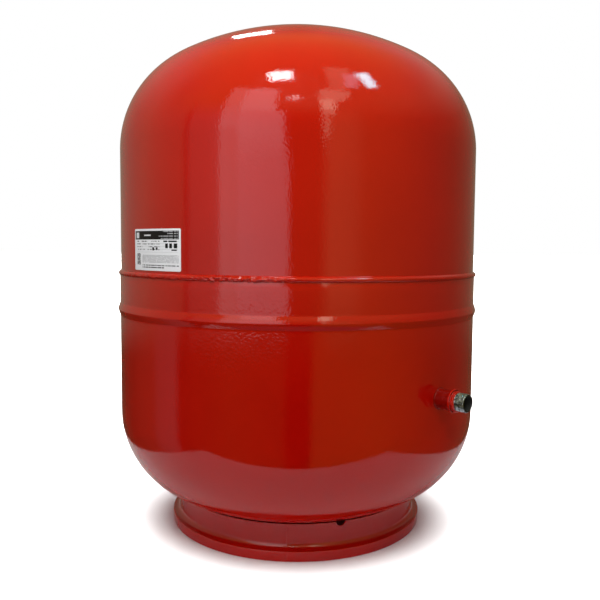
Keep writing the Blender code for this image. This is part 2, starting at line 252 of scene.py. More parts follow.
def turned(name, section, material, steps=BODY_STEPS, place=on_vessel, wobble=None, sweep=None, sharp=30.0):
    """A closed section of (radius, height) points turned about an axis. A wobble moves each
    point as a function of its radius, height and angle. A sweep is a part turn, with end caps."""
    shape = bmesh.new()
    angles = levels(*sweep, steps) if sweep else levels(0.0, math.tau, steps)[:-1]
    columns = []
    for angle in angles:
        column = []
        for k, (r, z) in enumerate(section):
            if r < 1e-7:
                column.append(columns[0][k] if columns else shape.verts.new(place(0.0, z, 0.0)))
            else:
                r, z = wobble(r, z, angle) if wobble else (r, z)
                column.append(shape.verts.new(place(r, z, angle)))
        columns.append(column)
    skin(shape, columns, closed=not sweep)
    return finish_mesh(name, shape, material, sharp)


def cut_round_hole(obj, radius, low, high, steps, place):
    """Takes a cylinder's volume out of a piece."""
    section = [(0.0, high), (radius, high), (radius, low), (0.0, low)]
    cutter = turned("cutter", section, RED, steps, place)
    modifier = obj.modifiers.new("cut", "BOOLEAN")
    modifier.object = cutter
    graph = bpy.context.evaluated_depsgraph_get()
    mesh = bpy.data.meshes.new_from_object(obj.evaluated_get(graph))
    obj.modifiers.clear()
    obj.data = mesh
    shade(mesh, 30.0)
    bpy.data.objects.remove(cutter)


def keep(obj, *nodes, body="vessel"):
    """The piece rides on a body and stands for its CAD nodes, which are hidden."""
    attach(obj, body)
    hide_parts(*nodes)
    return obj


def lumps(x, y, z, size, seed):
    """Smooth noise from about -0.5 to 0.5."""
    return noise.noise(Vector((x / size + seed, y / size, z / size)))


# ---- materials

def feed(tree, node, inputs):
    """Gives a node's inputs a constant each, or a link from another node's output."""
    for key, value in inputs.items():
        if isinstance(value, bpy.types.NodeSocket):
            tree.links.new(value, node.inputs[key])
        else:
            node.inputs[key].default_value = value


def add_node(tree, kind, inputs=(), **settings):
    node = tree.nodes.new(f"ShaderNode{kind}")
    for key, value in settings.items():
        setattr(node, key, value)
    feed(tree, node, dict(inputs))
    return node


def calculate(tree, kind, operation, *values):
    """A Math or VectorMath node over some values."""
    return add_node(tree, kind, enumerate(values), operation=operation)


def object_place(tree):
    return add_node(tree, "TexCoord").outputs["Object"]


def object_noise(tree, scale, detail=2.0, roughness=0.5):
    """A noise's factor over the object's own coordinates."""
    inputs = {"Vector": object_place(tree), "Scale": scale, "Detail": detail, "Roughness": roughness}
    return add_node(tree, "TexNoise", inputs).outputs["Fac"]


def spread(tree, factor, low=0.0, high=1.0, from_low=0.3, from_high=0.7):
    """Maps a factor's middle range to values from low to high."""
    inputs = {"Value": factor, "From Min": from_low, "From Max": from_high, "To Min": low, "To Max": high}
    return add_node(tree, "MapRange", inputs).outputs["Result"]


def blend(tree, factor, first, second):
    """A mix of two colours, each of them a constant or a node's output."""
    first, second = [(*end, 1.0) if isinstance(end, tuple) else end for end in (first, second)]
    inputs = {"Factor": factor, "A": first, "B": second}
    return add_node(tree, "Mix", inputs, data_type="RGBA").outputs["Result"]


def bump(tree, height, distance, inputs=()):
    return add_node(tree, "Bump", {"Height": height, "Distance": distance, **dict(inputs)}).outputs["Normal"]


def surface(name, paint):
    """A material whose shader has the inputs that the function paint gives for its node tree."""
    material = bpy.data.materials.new(name)
    material.use_nodes = True
    tree = material.node_tree
    feed(tree, tree.nodes["Principled BSDF"], paint(tree))
    return material


def two_tone(name, first, second, scale, rough, metallic, grain):
    """A finish whose colour and roughness drift between two tones over a noise."""
    def paint(tree):
        drift = object_noise(tree, scale, 4.0, 0.6)
        grain_scale, depth = grain
        return {
            "Base Color": blend(tree, spread(tree, drift), first, second),
            "Roughness": spread(tree, drift, *rough),
            "Metallic": metallic,
            "Normal": bump(tree, object_noise(tree, grain_scale, 3.0, 0.6), depth),
        }
    return surface(name, paint)


def red_powder_coat(name, light, dark, rough, gloss):
    """Glossy powder coat: an orange peel of about 4 mm on a slightly wavy sheet."""
    def paint(tree):
        wave = bump(tree, object_noise(tree, 38.0, 1.0), 0.00009)
        return {
            "Base Color": blend(tree, spread(tree, object_noise(tree, 9.0, 3.0)), light, dark),
            "Roughness": spread(tree, object_noise(tree, 60.0), *rough),
            "Specular IOR Level": gloss,
            "Normal": bump(tree, object_noise(tree, 310.0, 1.5), 0.00012, {"Normal": wave}),
        }
    return surface(name, paint)


def zinc_plate(tree):
    """Passivated zinc on a cut thread: mottled grey, with painted shade darkening the thread's root."""
    patches = object_noise(tree, 330.0, 3.0, 0.65)
    mottle = spread(tree, patches, from_low=0.42, from_high=0.60)
    to_axis = (0.0, 0.0, -NOZZLE_Z)
    off_axis = calculate(tree, "VectorMath", "MULTIPLY_ADD", object_place(tree), (0.0, 1.0, 1.0), to_axis)
    reach = calculate(tree, "VectorMath", "LENGTH", off_axis.outputs["Vector"]).outputs["Value"]
    # Near black towards the thread's root: painted shade for the shaded groove, 1 on the crests
    crest_out_of_painted_shade = spread(tree, reach, from_low=NIPPLE_R - 0.0010, from_high=NIPPLE_R - 0.0002)
    bare = blend(tree, mottle, (0.06, 0.07, 0.08), (0.80, 0.90, 1.0))
    return {
        "Base Color": blend(tree, crest_out_of_painted_shade, (0.06, 0.06, 0.06), bare),
        "Roughness": spread(tree, patches, 0.42, 0.20),
        "Metallic": 1.0,
        "Normal": bump(tree, object_noise(tree, 1300.0, 3.0), 0.00005),
    }


class Print:
    """Printed shapes on the label, given as shares of its width and height from its top left."""

    def __init__(self, tree):
        self.tree = tree
        place = add_node(tree, "UVMap", uv_map="label").outputs["UV"]
        parts = add_node(tree, "SeparateXYZ", {0: place}).outputs
        self.x, self.y = parts["X"], parts["Y"]

    def math(self, operation, *values):
        return calculate(self.tree, "Math", operation, *values).outputs["Value"]

    def block(self, left, right, top, bottom):
        """1 inside the rectangle, 0 outside."""
        across = self.math("COMPARE", self.x, (left + right) / 2, (right - left) / 2)
        down = self.math("COMPARE", self.y, 1 - (top + bottom) / 2, (bottom - top) / 2)
        return self.math("MULTIPLY", across, down)

    def dashes(self, left, right, top, bottom, rows, across, share, strength, height):
        """Rows of short grey dashes, which stand for print and spell nothing."""
        area = self.block(left, right, top, bottom)
        down = self.math("MULTIPLY", self.math("SUBTRACT", 1 - top, self.y), rows / (bottom - top))
        in_row = self.math("LESS_THAN", self.math("FRACT", down), height)
        cell = self.math("FLOOR", self.math("MULTIPLY", self.x, across))
        seed = add_node(self.tree, "CombineXYZ", {"X": cell, "Y": self.math("FLOOR", down)})
        inputs = {"Vector": seed.outputs["Vector"]}
        random = add_node(self.tree, "TexWhiteNoise", inputs, noise_dimensions="2D").outputs["Value"]
        printed = self.math("LESS_THAN", random, share)
        inked = self.math("MULTIPLY", self.math("MULTIPLY", area, in_row), printed)
        return self.math("MULTIPLY", inked, strength)

    def union(self, shapes):
        total = shapes[0]
        for shape in shapes[1:]:
            total = self.math("MAXIMUM", total, shape)
        return total


def printed_label(tree):
    """White film with a black header and generic bars, blocks and dashes."""
    ink = Print(tree)
    header = ink.block(0.020, 0.968, 0.050, 0.255)
    header_bars = [ink.block(0.265, 0.425, 0.138, 0.172), ink.block(0.050, 0.130, 0.085, 0.225)]
    for left, top, bottom, strength in (
        (0.68, 0.058, 0.078, 0.6),
        (0.77, 0.106, 0.128, 0.7),
        (0.60, 0.165, 0.187, 0.6),
        (0.64, 0.222, 0.242, 0.5),
    ):
        header_bars.append(ink.dashes(left, 0.95, top, bottom, 1, 90, 0.8, strength, 1.0))
    dark = [ink.block(*edges) for edges in (
        (0.725, 0.775, 0.350, 0.460),
        (0.800, 0.850, 0.350, 0.460),
        (0.880, 0.940, 0.350, 0.460),
        (0.460, 0.500, 0.440, 0.515),
        (0.535, 0.575, 0.445, 0.505),
    )]
    dark += [ink.dashes(*rows) for rows in (
        (0.69, 0.955, 0.282, 0.318, 1, 60, 0.88, 1.0, 1.0),
        (0.070, 0.165, 0.590, 0.870, 15, 64, 0.86, 1.0, 0.72),
        (0.84, 0.95, 0.490, 0.520, 1, 60, 0.8, 1.0, 1.0),
        (0.215, 0.965, 0.858, 0.885, 1, 110, 0.85, 0.8, 1.0),
        (0.215, 0.700, 0.908, 0.935, 1, 110, 0.9, 0.9, 1.0),
    )]
    grey = [
        ink.dashes(0.06, 0.62, 0.285, 0.545, 4, 80, 0.45, 0.70, 0.40),
        ink.dashes(0.215, 0.965, 0.625, 0.815, 8, 150, 0.86, 0.42, 0.70),
    ]
    lines = [ink.block(0.06, 0.95, at, at + 0.006) for at in (0.345, 0.415, 0.485, 0.555)]
    faint = ink.math("MULTIPLY", ink.union(lines), 0.35)
    light_in_header = ink.math("MULTIPLY", ink.union(header_bars), 0.85)
    on_header = ink.math("MULTIPLY", header, ink.math("SUBTRACT", 1.0, light_in_header))
    amount = ink.union([on_header, *dark, *grey, faint])
    return {
        "Base Color": blend(tree, amount, (0.98, 0.985, 1.0), (0.008, 0.008, 0.009)),
        "Roughness": spread(tree, object_noise(tree, 90.0), 0.38, 0.48),
        "Specular IOR Level": 0.15,
        "Normal": bump(tree, object_noise(tree, 240.0), 0.00002),
    }


def pale_floor(tree):
    drift = spread(tree, object_noise(tree, 1.3, 3.0))
    return {
        "Base Color": blend(tree, drift, (0.86, 0.86, 0.86), (0.88, 0.88, 0.88)),
        "Roughness": 0.9,
        "Specular IOR Level": 0.1,
    }


RED = red_powder_coat(
    "red_powder_coat", (0.52, 0.0045, 0.0006), (0.48, 0.0030, 0.0005), (0.035, 0.065), 0.5
)
# A duller copy of the red coat for the socket stub and its fillet weld: rougher with weaker gloss, and its
# darker colour is painted shade
DULL_RED_WITH_PAINTED_SHADE = red_powder_coat(
    "dull_red_coat_with_painted_shade", (0.28, 0.0030, 0.0004), (0.19, 0.0016, 0.0004), (0.16, 0.30), 0.2
)
ZINC = surface("zinc_plate", zinc_plate)
LABEL = surface("printed_label", printed_label)
# Two tones, scale of their drift, range of roughness, metallic, scale and depth of the grain
BRASS = two_tone(
    "turned_brass", (0.62, 0.43, 0.16), (0.74, 0.55, 0.26), 400.0, (0.22, 0.34), 1.0, (2500.0, 0.00001)
)
SPRING_STEEL = two_tone(
    "spring_steel", (0.50, 0.50, 0.52), (0.66, 0.66, 0.68), 900.0, (0.20, 0.30), 1.0, (4000.0, 0.00001)
)
BARE_STEEL = two_tone(
    "bare_steel", (0.27, 0.26, 0.25), (0.42, 0.41, 0.39), 70.0, (0.38, 0.55), 1.0, (900.0, 0.00004)
)
RUBBER = two_tone(
    "butyl_rubber", (0.020, 0.020, 0.021), (0.038, 0.037, 0.036), 55.0, (0.62, 0.78), 0.0, (700.0, 0.00008)
)
PLASTIC = two_tone(
    "black_plastic", (0.022, 0.022, 0.024), (0.034, 0.034, 0.036), 80.0, (0.36, 0.46), 0.0, (1400.0, 0.00004)
)
# Near-black inside of the nipple's bore: painted shade for a deep hole that little light reaches
BORE_PAINTED_SHADE = two_tone(
    "bore_in_painted_shade", (0.012, 0.012, 0.011), (0.035, 0.034, 0.030), 300.0, (0.55, 0.8), 0.0, (900.0, 0.00006)
)


# ---- shells

def dish_depth(shell_r, crown_r, knuckle_r):
    return crown_r - math.sqrt((crown_r - knuckle_r) ** 2 - (shell_r - knuckle_r) ** 2)


def dish(shell_r, crown_r, knuckle_r, from_r=0.0, inset=0.0):
    """(radius, height over the tangent line) of a dished end, from its middle to its tangent."""
    centre = dish_depth(shell_r, crown_r, knuckle_r) - crown_r
    joint = math.asin((shell_r - knuckle_r) / (crown_r - knuckle_r))
    start = math.asin(from_r / (crown_r - inset))
    joint_degrees, start_degrees = math.degrees(joint), math.degrees(start)
    crown = arc((0.0, centre), crown_r - inset, 90 - start_degrees, 90 - joint_degrees, CROWN_STEPS)
    knuckle = arc((shell_r - knuckle_r, 0.0), knuckle_r - inset, 90 - joint_degrees, 0, KNUCKLE_STEPS)
    return crown[:-1] + knuckle


def lower_dish(inset=0.0):
    end = dish(LOWER_R, LOWER_CROWN_R, LOWER_KNUCKLE_R, 0.0, inset)
    return [(r if i else 0.0, LOWER_TANGENT_Z - h) for i, (r, h) in enumerate(end)][::-1]


def lower_wall_r(z):
    """Outer radius of the lower shell. Its rolled bead has a narrow back and plain flanks."""
    half, power = BEAD_ABOVE if z > BEAD_Z else BEAD_BELOW
    share = 1 - math.hypot((z - BEAD_Z) / half, 0.06) ** power
    return LOWER_R + BEAD_RISE * (share + math.hypot(share, 0.08)) / 2.004


def sheet_wave(seed):
    """Deep-drawn sheet isn't quite true: a shallow wave that fades out at both poles."""
    def wobble(r, z, angle):
        x, y = round_at(r, angle)
        share = min(1.0, max(0.0, (r - 0.06) / 0.12))
        return r - SHEET_WAVE * share * (0.5 + lumps(x, y, z * 0.6, 0.11, seed)), z
    return wobble


def make_upper_shell():
    tangent_z = DOME_TOP - dish_depth(UPPER_R, UPPER_CROWN_R, UPPER_KNUCKLE_R)
    rim_r = WELL_R + 0.004
    end = dish(UPPER_R, UPPER_CROWN_R, UPPER_KNUCKLE_R, from_r=rim_r + 0.002)
    rim_z = tangent_z + end[0][1] + 0.0002
    profile = [(WELL_HOLE_R, WELL_FLOOR_Z), (0.022, WELL_FLOOR_Z)]
    profile += arc((WELL_R - 0.003, WELL_FLOOR_Z + 0.003), 0.003, -90, 0, 8)
    profile += arc((rim_r, rim_z - 0.004), 0.004, 180, 93, 10)
    profile += [(r, tangent_z + h) for r, h in end]
    profile += run(profile[-1], (UPPER_R, bottom_of("upper_shell")), 12)
    shell = turned("upper_shell_pressing", walled(profile, WALL), RED, wobble=sheet_wave(3.1))
    keep(shell, "upper_shell")


def make_lower_shell():
    lip_r = UPPER_R - WALL - 0.0003
    step_z = GIRTH_Z - 0.004
    profile = [(lip_r, LIP_TOP_Z), (lip_r, GIRTH_Z + 0.001)]
    profile += run(profile[-1], (LOWER_R - 0.0004, step_z + 0.0002), 2)
    profile += [(LOWER_R, step_z - 0.0006)]
    wall_top, wall_bottom = BEAD_Z + BEAD_REACH, BEAD_Z - BEAD_REACH
    profile += run(profile[-1], (LOWER_R, wall_top + 0.001), 3)
    profile += [(lower_wall_r(z), z) for z in levels(wall_top, wall_bottom, 60)]
    profile += run((LOWER_R, wall_bottom), (LOWER_R, LOWER_TANGENT_Z), 8)[:-1]
    profile += lower_dish()
    shell = turned("lower_shell_pressing", walled(profile, WALL), RED, wobble=sheet_wave(7.7))
    cut_round_hole(shell, SOCKET_R + 0.0003, LOWER_R - 0.02, LOWER_R + 0.01, PIPE_STEPS, on_nozzle)
    keep(shell, "lower_shell")


def roughness_at(angle):
    """1 where the weld's run ends on itself, half of that where it began, 0 elsewhere."""
    degrees = (math.degrees(angle) + 180.0) % 360.0 - 180.0
    began = min(degrees + 104.0, -68.0 - degrees) / 4.0
    ended = min(degrees + 71.0, -45.0 - degrees) / 3.0
    return max(0.0, 0.55 * min(1.0, began), min(1.0, ended))


def weld_wobble(r, z, angle):
    """Fine ripples all round, and lumps and a ragged lower edge where the run overlaps."""
    x, y = round_at(r, angle)
    face = max(0.0, (r - UPPER_R + 0.0002) / 0.004)
    rough = roughness_at(angle)
    ripple = 0.00010 * math.sin(angle * LOWER_R / 0.0030 * math.tau + 1.7 * lumps(x, y, 0, 0.02, 5.0))
    swell_r = ripple + 0.00022 * lumps(x, y, z, 0.016, 1.5)
    lump_r = 0.0021 * lumps(x, y, z * 1.6, 0.0058, 9.2) + 0.0007 * lumps(x, y, z, 0.0024, 2.2)
    low_edge = max(0.0, (GIRTH_Z - z) / 0.004)
    ragged = 0.0016 * lumps(x, y, 0.0, 0.0065, 4.4) * low_edge
    moved_r = r + face * (swell_r * (1 - 0.5 * rough) + rough * (lump_r - 0.0002))
    return min(moved_r, BEAD_R), z + rough * ragged + 0.00012 * lumps(x, y, 0, 0.03, 8.8)


def make_girth_weld():
    bottom, top, outer = span("girth_weld")
    inner_top, inner_bottom = UPPER_R + 0.0001, LOWER_R + 0.0001
    bulge = outer - (UPPER_R + LOWER_R) / 2
    face = []
    for t in levels(0.0, 1.0, 16):
        base = inner_top + (inner_bottom - inner_top) * t
        face.append((base + bulge * math.sin(math.pi * t) ** 0.75, top + (bottom - top) * t))
    root = [(LOWER_R - 0.0004, GIRTH_Z - 0.0032), (UPPER_R - 0.0010, GIRTH_Z + 0.0010)]
    weld = turned("girth_weld_bead", face + root, RED, WELD_STEPS, wobble=weld_wobble, sharp=75.0)
    keep(weld, "girth_weld")


# ---- foot ring

def ring_section():
    """A wall with a rounded top, and an outward hem that it stands on."""
    inner_r = RING_R - RING_WALL
    hem_inner = HEM_R - HEM_WIDTH
    shelf_z = HEM_TOP_Z - RING_WALL
    outer = arc((RING_R - 0.0005, RING_TOP_Z - 0.0005), 0.0005, 120, 0, 6)
    outer += run(outer[-1], (RING_R, HEM_TOP_Z + 0.0092), 6)[:-1]
    outer += arc((RING_R + 0.0095, HEM_TOP_Z + 0.0090), 0.0095, 180, 264, 14)
    outer += arc((HEM_R - 0.0007, HEM_TOP_Z - 0.0007), 0.0007, 84, 0, 6)
    outer += [(HEM_R, 0.0012), (HEM_R - 0.0003, 0.0004), (HEM_R - 0.0010, 0.0)]
    inner = [(hem_inner + 0.0006, 0.0), (hem_inner, 0.0008), (hem_inner, shelf_z)]
    inner += arc((inner_r + 0.007, shelf_z + 0.007), 0.007, 270, 180, 8)
    return outer + inner + [(inner_r, RING_TOP_Z - 0.0008)]


def make_foot_ring():
    gap = SEAM_HALF_WIDTH / RING_R
    sweep = (SEAM_AZIMUTH + gap, SEAM_AZIMUTH + math.tau - gap)
    ring = turned("foot_ring_pressing", ring_section(), RED, BODY_STEPS, sweep=sweep)

    def across(r, height, angle):
        """The cutting bar lies along a radius of the ring, and is flattened to an ellipse."""
        outward = Vector((math.cos(NOTCH_AZIMUTH), math.sin(NOTCH_AZIMUTH), 0.0))
        along = Vector((-outward.y, outward.x, 0.0))
        centre = Vector((AXIS_X, 0.0, RING_TOP_Z)) + outward * (RING_R + height)
        side, up = round_at(r, angle)
        return centre + along * NOTCH_RADII[0] * side + Vector((0, 0, NOTCH_RADII[1] * up))

    cut_round_hole(ring, 1.0, -0.02, 0.02, 48, across)
    keep(ring, "foot_ring")


def make_foot_seam():
    half = (SEAM_HALF_WIDTH + 0.0002) / RING_R

    def wobble(r, z, angle):
        into = 1 - ((angle - SEAM_AZIMUTH) / half) ** 2
        ripple = 0.3 + 0.7 * abs(math.sin(z * math.pi / 0.0022))
        return r + 0.00035 * max(0.0, into) * ripple, z

    sweep = (SEAM_AZIMUTH - half, SEAM_AZIMUTH + half)
    weld = turned("foot_ring_seam", ring_section(), RED, 12, wobble=wobble, sweep=sweep, sharp=60.0)
    keep(weld, "foot_ring_seam_weld")


def make_tack_weld(number):
    """A lump of weld with a wetted edge, between ring and dished end."""
    node = f"foot_tack_weld_{number}"
    low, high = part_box(node)
    centre, half = (low + high) / 2, (high - low) / 2
    shape = bmesh.new()
    bmesh.ops.create_icosphere(shape, subdivisions=5, radius=1.0)
    for vert in shape.verts:
        x, y, z = vert.co
        rough = 0.94 + 0.16 * lumps(x, y, z, 0.35, 3.0 * number)
        flat = math.copysign(abs(z) ** 0.85, z)
        vert.co = centre + Vector((x * half.x, y * half.y, flat * half.z)) * rough
    keep(finish_mesh(f"tack_weld_{number}", shape, RED, 70.0), node)


# ---- nozzle

def thread_wobble(outer_r, pitch, depth, first, last, back_fade, front_fade):
    """Cuts a right-hand V thread with rounded crests and roots into the rows between two heights."""
    def wobble(r, height, angle):
        if abs(r - outer_r) > 1e-6 or not first <= height <= last:
            return r, height
        phase = (height / pitch - angle / math.tau) % 1.0
        groove = (0.5 - 0.5 * math.cos(math.tau * phase)) ** 0.7
        fade = min(1.0, (height - first) / back_fade, (last - height) / front_fade + 0.25)
        return r - depth * groove * max(0.0, fade), height
    return wobble


def repaint(piece, material, low, high):
    """A second material on the faces between two distances from the nozzle's axis."""
    piece.data.materials.append(material)
    for face in piece.data.polygons:
        if low < math.hypot(face.center.y, face.center.z - NOZZLE_Z) < high:
            face.material_index = 1


def make_nipple():
    chamfer, mouth_r = 0.0008, 0.0103
    thread_from, thread_to = COLLAR_END + 0.0062, NIPPLE_END - chamfer
    rows = round((thread_to - thread_from) / PIPE_PITCH * 12)
    section = [(mouth_r, NIPPLE_END), (NIPPLE_R - chamfer, NIPPLE_END)]
    section += run(section[-1], (NIPPLE_R, thread_to), 5)
    section += run(section[-1], (NIPPLE_R, thread_from), rows)
    section += [(NIPPLE_R - 0.0008, thread_from - 0.0004), (NIPPLE_R - 0.0008, COLLAR_END)]
    section += [(NIPPLE_R, COLLAR_END - 0.0006), (NIPPLE_R, NOZZLE_ROOT), (NIPPLE_BORE_R, NOZZLE_ROOT)]
    section += run(section[-1], (NIPPLE_BORE_R, NIPPLE_END - 0.008), 6)
    section += [(mouth_r - 0.0003, NIPPLE_END - 0.0065), (mouth_r - 0.0001, NIPPLE_END - 0.0006)]
    wobble = thread_wobble(NIPPLE_R, PIPE_PITCH, PIPE_THREAD_DEPTH, thread_from, thread_to, 0.0012, 0.0006)
    nipple = turned("threaded_nipple", section, ZINC, PIPE_STEPS, on_nozzle, wobble, sharp=50.0)
    # Faces inside the bore take the near-black painted shade
    repaint(nipple, BORE_PAINTED_SHADE, 0.0, mouth_r - 0.00005)
    keep(nipple, "water_nipple")


def make_socket():
    bore = NIPPLE_R + 0.0003
    back = COLLAR_END - 0.003
    section = [(bore, COLLAR_END)]
    section += arc((COLLAR_R - 0.0007, COLLAR_END - 0.0007), 0.0007, 90, 0, 5)
    section += arc((COLLAR_R - 0.0007, back + 0.0007), 0.0007, 0, -90, 5)
    section += arc((SOCKET_R + 0.0012, back - 0.0012), 0.0012, 90, 180, 6)
    section += run(section[-1], (SOCKET_R, NOZZLE_ROOT), 8) + [(bore, NOZZLE_ROOT)]

    def wobble(r, height, angle):
        x, y = round_at(0.012, angle)
        dent = 0.00035 * (0.5 + lumps(x, y, height, 0.006, 6.0))
        return r - dent * (r > bore + 1e-5), height

    # The stub keeps the darker copy of the red, which paints shade on it; the collar gets the glossy red
    socket = turned("nozzle_socket", section, DULL_RED_WITH_PAINTED_SHADE, PIPE_STEPS, on_nozzle, wobble)
    repaint(socket, RED, SOCKET_R + 0.0006, COLLAR_R)
    keep(socket, "water_socket")


def make_socket_weld():
    """A hollow fillet that runs round the socket's foot and follows the shell's round side."""
    inner, leg = SOCKET_R - 0.0002, 0.0016
    foot = LOWER_R + 0.0003
    face = arc((inner + leg, foot + leg), leg, 180, 268, 10)
    section = face + [(inner + leg, foot - 0.0008), (inner, foot - 0.0008)]

    def wobble(r, height, angle):
        side = r * math.cos(angle)
        sag = LOWER_R - math.sqrt(LOWER_R ** 2 - side ** 2)
        share = max(0.0, height - foot) / leg
        ripple = 0.00018 * math.sin(angle * 26 + 1.1 * math.sin(3 * angle)) * share
        return r, height - sag + ripple

    # The darker red on the fillet is painted shade
    weld = turned("socket_fillet_weld", section, DULL_RED_WITH_PAINTED_SHADE, 192, on_nozzle, wobble, sharp=70.0)
    keep(weld, "socket_weld")


def make_nipple_weld():
    """The painted ridge between the collar and the bare thread, with an uneven front edge."""
    seat = COLLAR_END + 0.0001
    inner, outer = NIPPLE_R - 0.0001, radius_of("nipple_weld")
    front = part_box("nipple_weld")[1].x - AXIS_X
    section = [(inner, front), (inner + 0.0006, front - 0.0001)]
    section += arc((outer - 0.0012, front - 0.0020), 0.0012, 60, 0, 4)
    section += arc((outer - 0.0009, seat + 0.0024), 0.0009, 0, -60, 4)
    section += [(outer - 0.0008, seat + 0.0006), (outer - 0.0004, seat), (inner, seat)]

    def wobble(r, height, angle):
        x, y = round_at(0.02, angle)
        share = max(0.0, (height - seat) / (front - seat))
        swell = 0.0012 * lumps(x, y, height * 0.7, 0.0048, 5.5) - 0.0003
        back = 0.0010 * (0.5 + lumps(x, y, 0, 0.010, 1.0))
        return min(r + swell * (r > inner + 0.0002), outer), height - share * back

    weld = turned("nipple_ring_weld", section, RED, 192, on_nozzle, wobble, sharp=70.0)
    keep(weld, "nipple_weld")


# ---- gas valve

def make_boss():
    bottom, top, outer = span("valve_boss")
    body_r, bore, chamfer = WELL_HOLE_R - 0.0003, 0.0046, 0.0006
    seat = WELL_FLOOR_Z + 0.0003
    section = [(bore, top - 0.0003), (bore + 0.0003, top)]
    section += arc((outer - chamfer, top - chamfer), chamfer, 90, 0, 5)
    section += [(outer, seat), (body_r, seat), (body_r, bottom + chamfer)]
    section += [(body_r - chamfer, bottom), (bore, bottom)]
    keep(turned("boss", section, BARE_STEEL, SMALL_STEPS), "valve_boss")


def make_boss_weld():
    seat, top, outer = span("valve_boss_weld")
    inner = 0.0141
    section = [(inner, top), (inner + 0.0008, top - 0.0001), (inner + 0.0016, top - 0.0008)]
    section += [(outer - 0.0005, seat + 0.0005), (outer, seat), (inner, seat)]

    def wobble(r, height, angle):
        share = (height - seat) / (top - seat)
        ripple = math.sin(angle * 34 + 2 * math.sin(2 * angle))
        sunk = 0.0002 * share * (0.5 + 0.5 * ripple)
        return r + 0.00012 * ripple * share * (r > inner + 0.0002), height - sunk

    weld = turned("boss_fillet_weld", section, RED, 256, wobble=wobble, sharp=70.0)
    keep(weld, "valve_boss_weld")


def make_stem_gasket():
    bottom, top, outer = span("valve_stem_seal")
    inner = 0.0047
    half = (top - bottom) / 2
    section = arc((outer - half, bottom + half), half, 90, -90, 10)
    section += [(inner, bottom), (inner, top)]
    keep(turned("stem_gasket", section, RUBBER, SMALL_STEPS), "valve_stem_seal")


def make_stem():
    """Threaded stem with a chamfered hexagon, drawn as one turned body whose flats are a wobble."""
    top, bottom = top_of("valve_stem"), bottom_of("valve_stem")
    thread_r, shank_r, bore_r, throat = 0.00385, 0.0043, 0.00275, 0.0016
    hex_bottom = top_of("valve_stem_seal") + 0.0003
    hex_top = hex_bottom + 0.003
    hex_corner = 0.0075
    pitch, depth = 0.000794, 0.00042
    chamber_z = top - 0.0140
    rows = round((top - 0.0004 - hex_top) / pitch * 10)
    section = [(bore_r, top), (thread_r - 0.0004, top)]
    section += run(section[-1], (thread_r, top - 0.0004), 3)
    section += run(section[-1], (thread_r, hex_top), rows)
    section += [(hex_corner - 0.0011, hex_top), (hex_corner, hex_top - 0.0005)]
    section += [(hex_corner, hex_bottom + 0.0002), (hex_corner - 0.0004, hex_bottom), (shank_r, hex_bottom)]
    section += [(shank_r, bottom + 0.0005), (shank_r - 0.0005, bottom), (throat, bottom)]
    section += [(throat, chamber_z), (bore_r, chamber_z)]
    thread = thread_wobble(thread_r, pitch, depth, hex_top + 0.0006, top - 0.0004, 0.0006, 0.0003)

    def wobble(r, height, angle):
        if r > shank_r + 0.0005:
            sector = (angle + math.pi / 6) % (math.pi / 3) - math.pi / 6
            return min(r, hex_corner * math.cos(math.pi / 6) / math.cos(sector)), height
        return thread(r, height, angle)

    stem = turned("stem", section, BRASS, 96, wobble=wobble, sharp=28.0)
    keep(stem, "valve_stem")


def make_core():
    bottom, top, outer = span("valve_core_body")
    wide, narrow, groove = 0.00195, 0.0009, 0.0020
    thread_bottom, pitch, depth = top - 0.0030, 0.0007, 0.00025
    section = [(wide, top), (outer - 0.0001, top), (outer, top - 0.0001)]
    section += run(section[-1], (outer, thread_bottom), 40)
    section += [(outer - 0.00015, thread_bottom - 0.0001), (outer - 0.00015, bottom + 0.0020)]
    section += [(groove, bottom + 0.0020), (groove, bottom + 0.0008)]
    section += [(outer, bottom + 0.0008), (outer - 0.0003, bottom)]
    section += [(narrow, bottom), (narrow, bottom + 0.0025), (wide, bottom + 0.0025)]
    thread = thread_wobble(outer, pitch, depth, thread_bottom, top - 0.0001, 0.0003, 0.0002)
    core = turned("core_barrel", section, BRASS, SMALL_STEPS, wobble=thread, sharp=40.0)
    keep(core, "valve_core_body")

    low, high, outer = span("valve_core_seal")
    inner, round_r = 0.0021, 0.0003
    section = arc((outer - round_r, (low + high) / 2), round_r, 90, -90, 8) + [(inner, low), (inner, high)]
    keep(turned("core_ring_seal", section, RUBBER, SMALL_STEPS), "valve_core_seal")


def make_pin():
    foot_bottom, top, collar_r = span("valve_pin")
    shaft, foot_r = 0.0005, 0.0013
    collar = top_of("valve_spring") + 0.0001
    foot_top = foot_bottom + 0.0008
    section = [(0.0, top), (shaft - 0.00015, top), (shaft, top - 0.00015)]
    section += run(section[-1], (shaft, collar + 0.0009), 4)
    section += [(collar_r - 0.0002, collar + 0.0008), (collar_r, collar + 0.0006)]
    section += [(collar_r, collar), (shaft, collar)]
    section += run(section[-1], (shaft, foot_top + 0.0001), 4)
    section += [(foot_r, foot_top), (foot_r, foot_bottom + 0.0002)]
    section += [(foot_r - 0.0002, foot_bottom), (0.0, foot_bottom)]
    keep(turned("core_pin", section, SPRING_STEEL, 48), "valve_pin", body="valve_pin")

    low, high, outer = span("valve_pin_seal")
    inner, corner = 0.0006, 0.0002
    section = [(inner, high), (outer - 0.0003, high)]
    section += arc((outer - corner, high - corner), corner, 90, 0, 4)
    section += arc((outer - corner, low + corner), corner, 0, -90, 4) + [(inner, low)]
    keep(turned("core_seal_disc", section, RUBBER, 48), "valve_pin_seal", body="valve_pin")


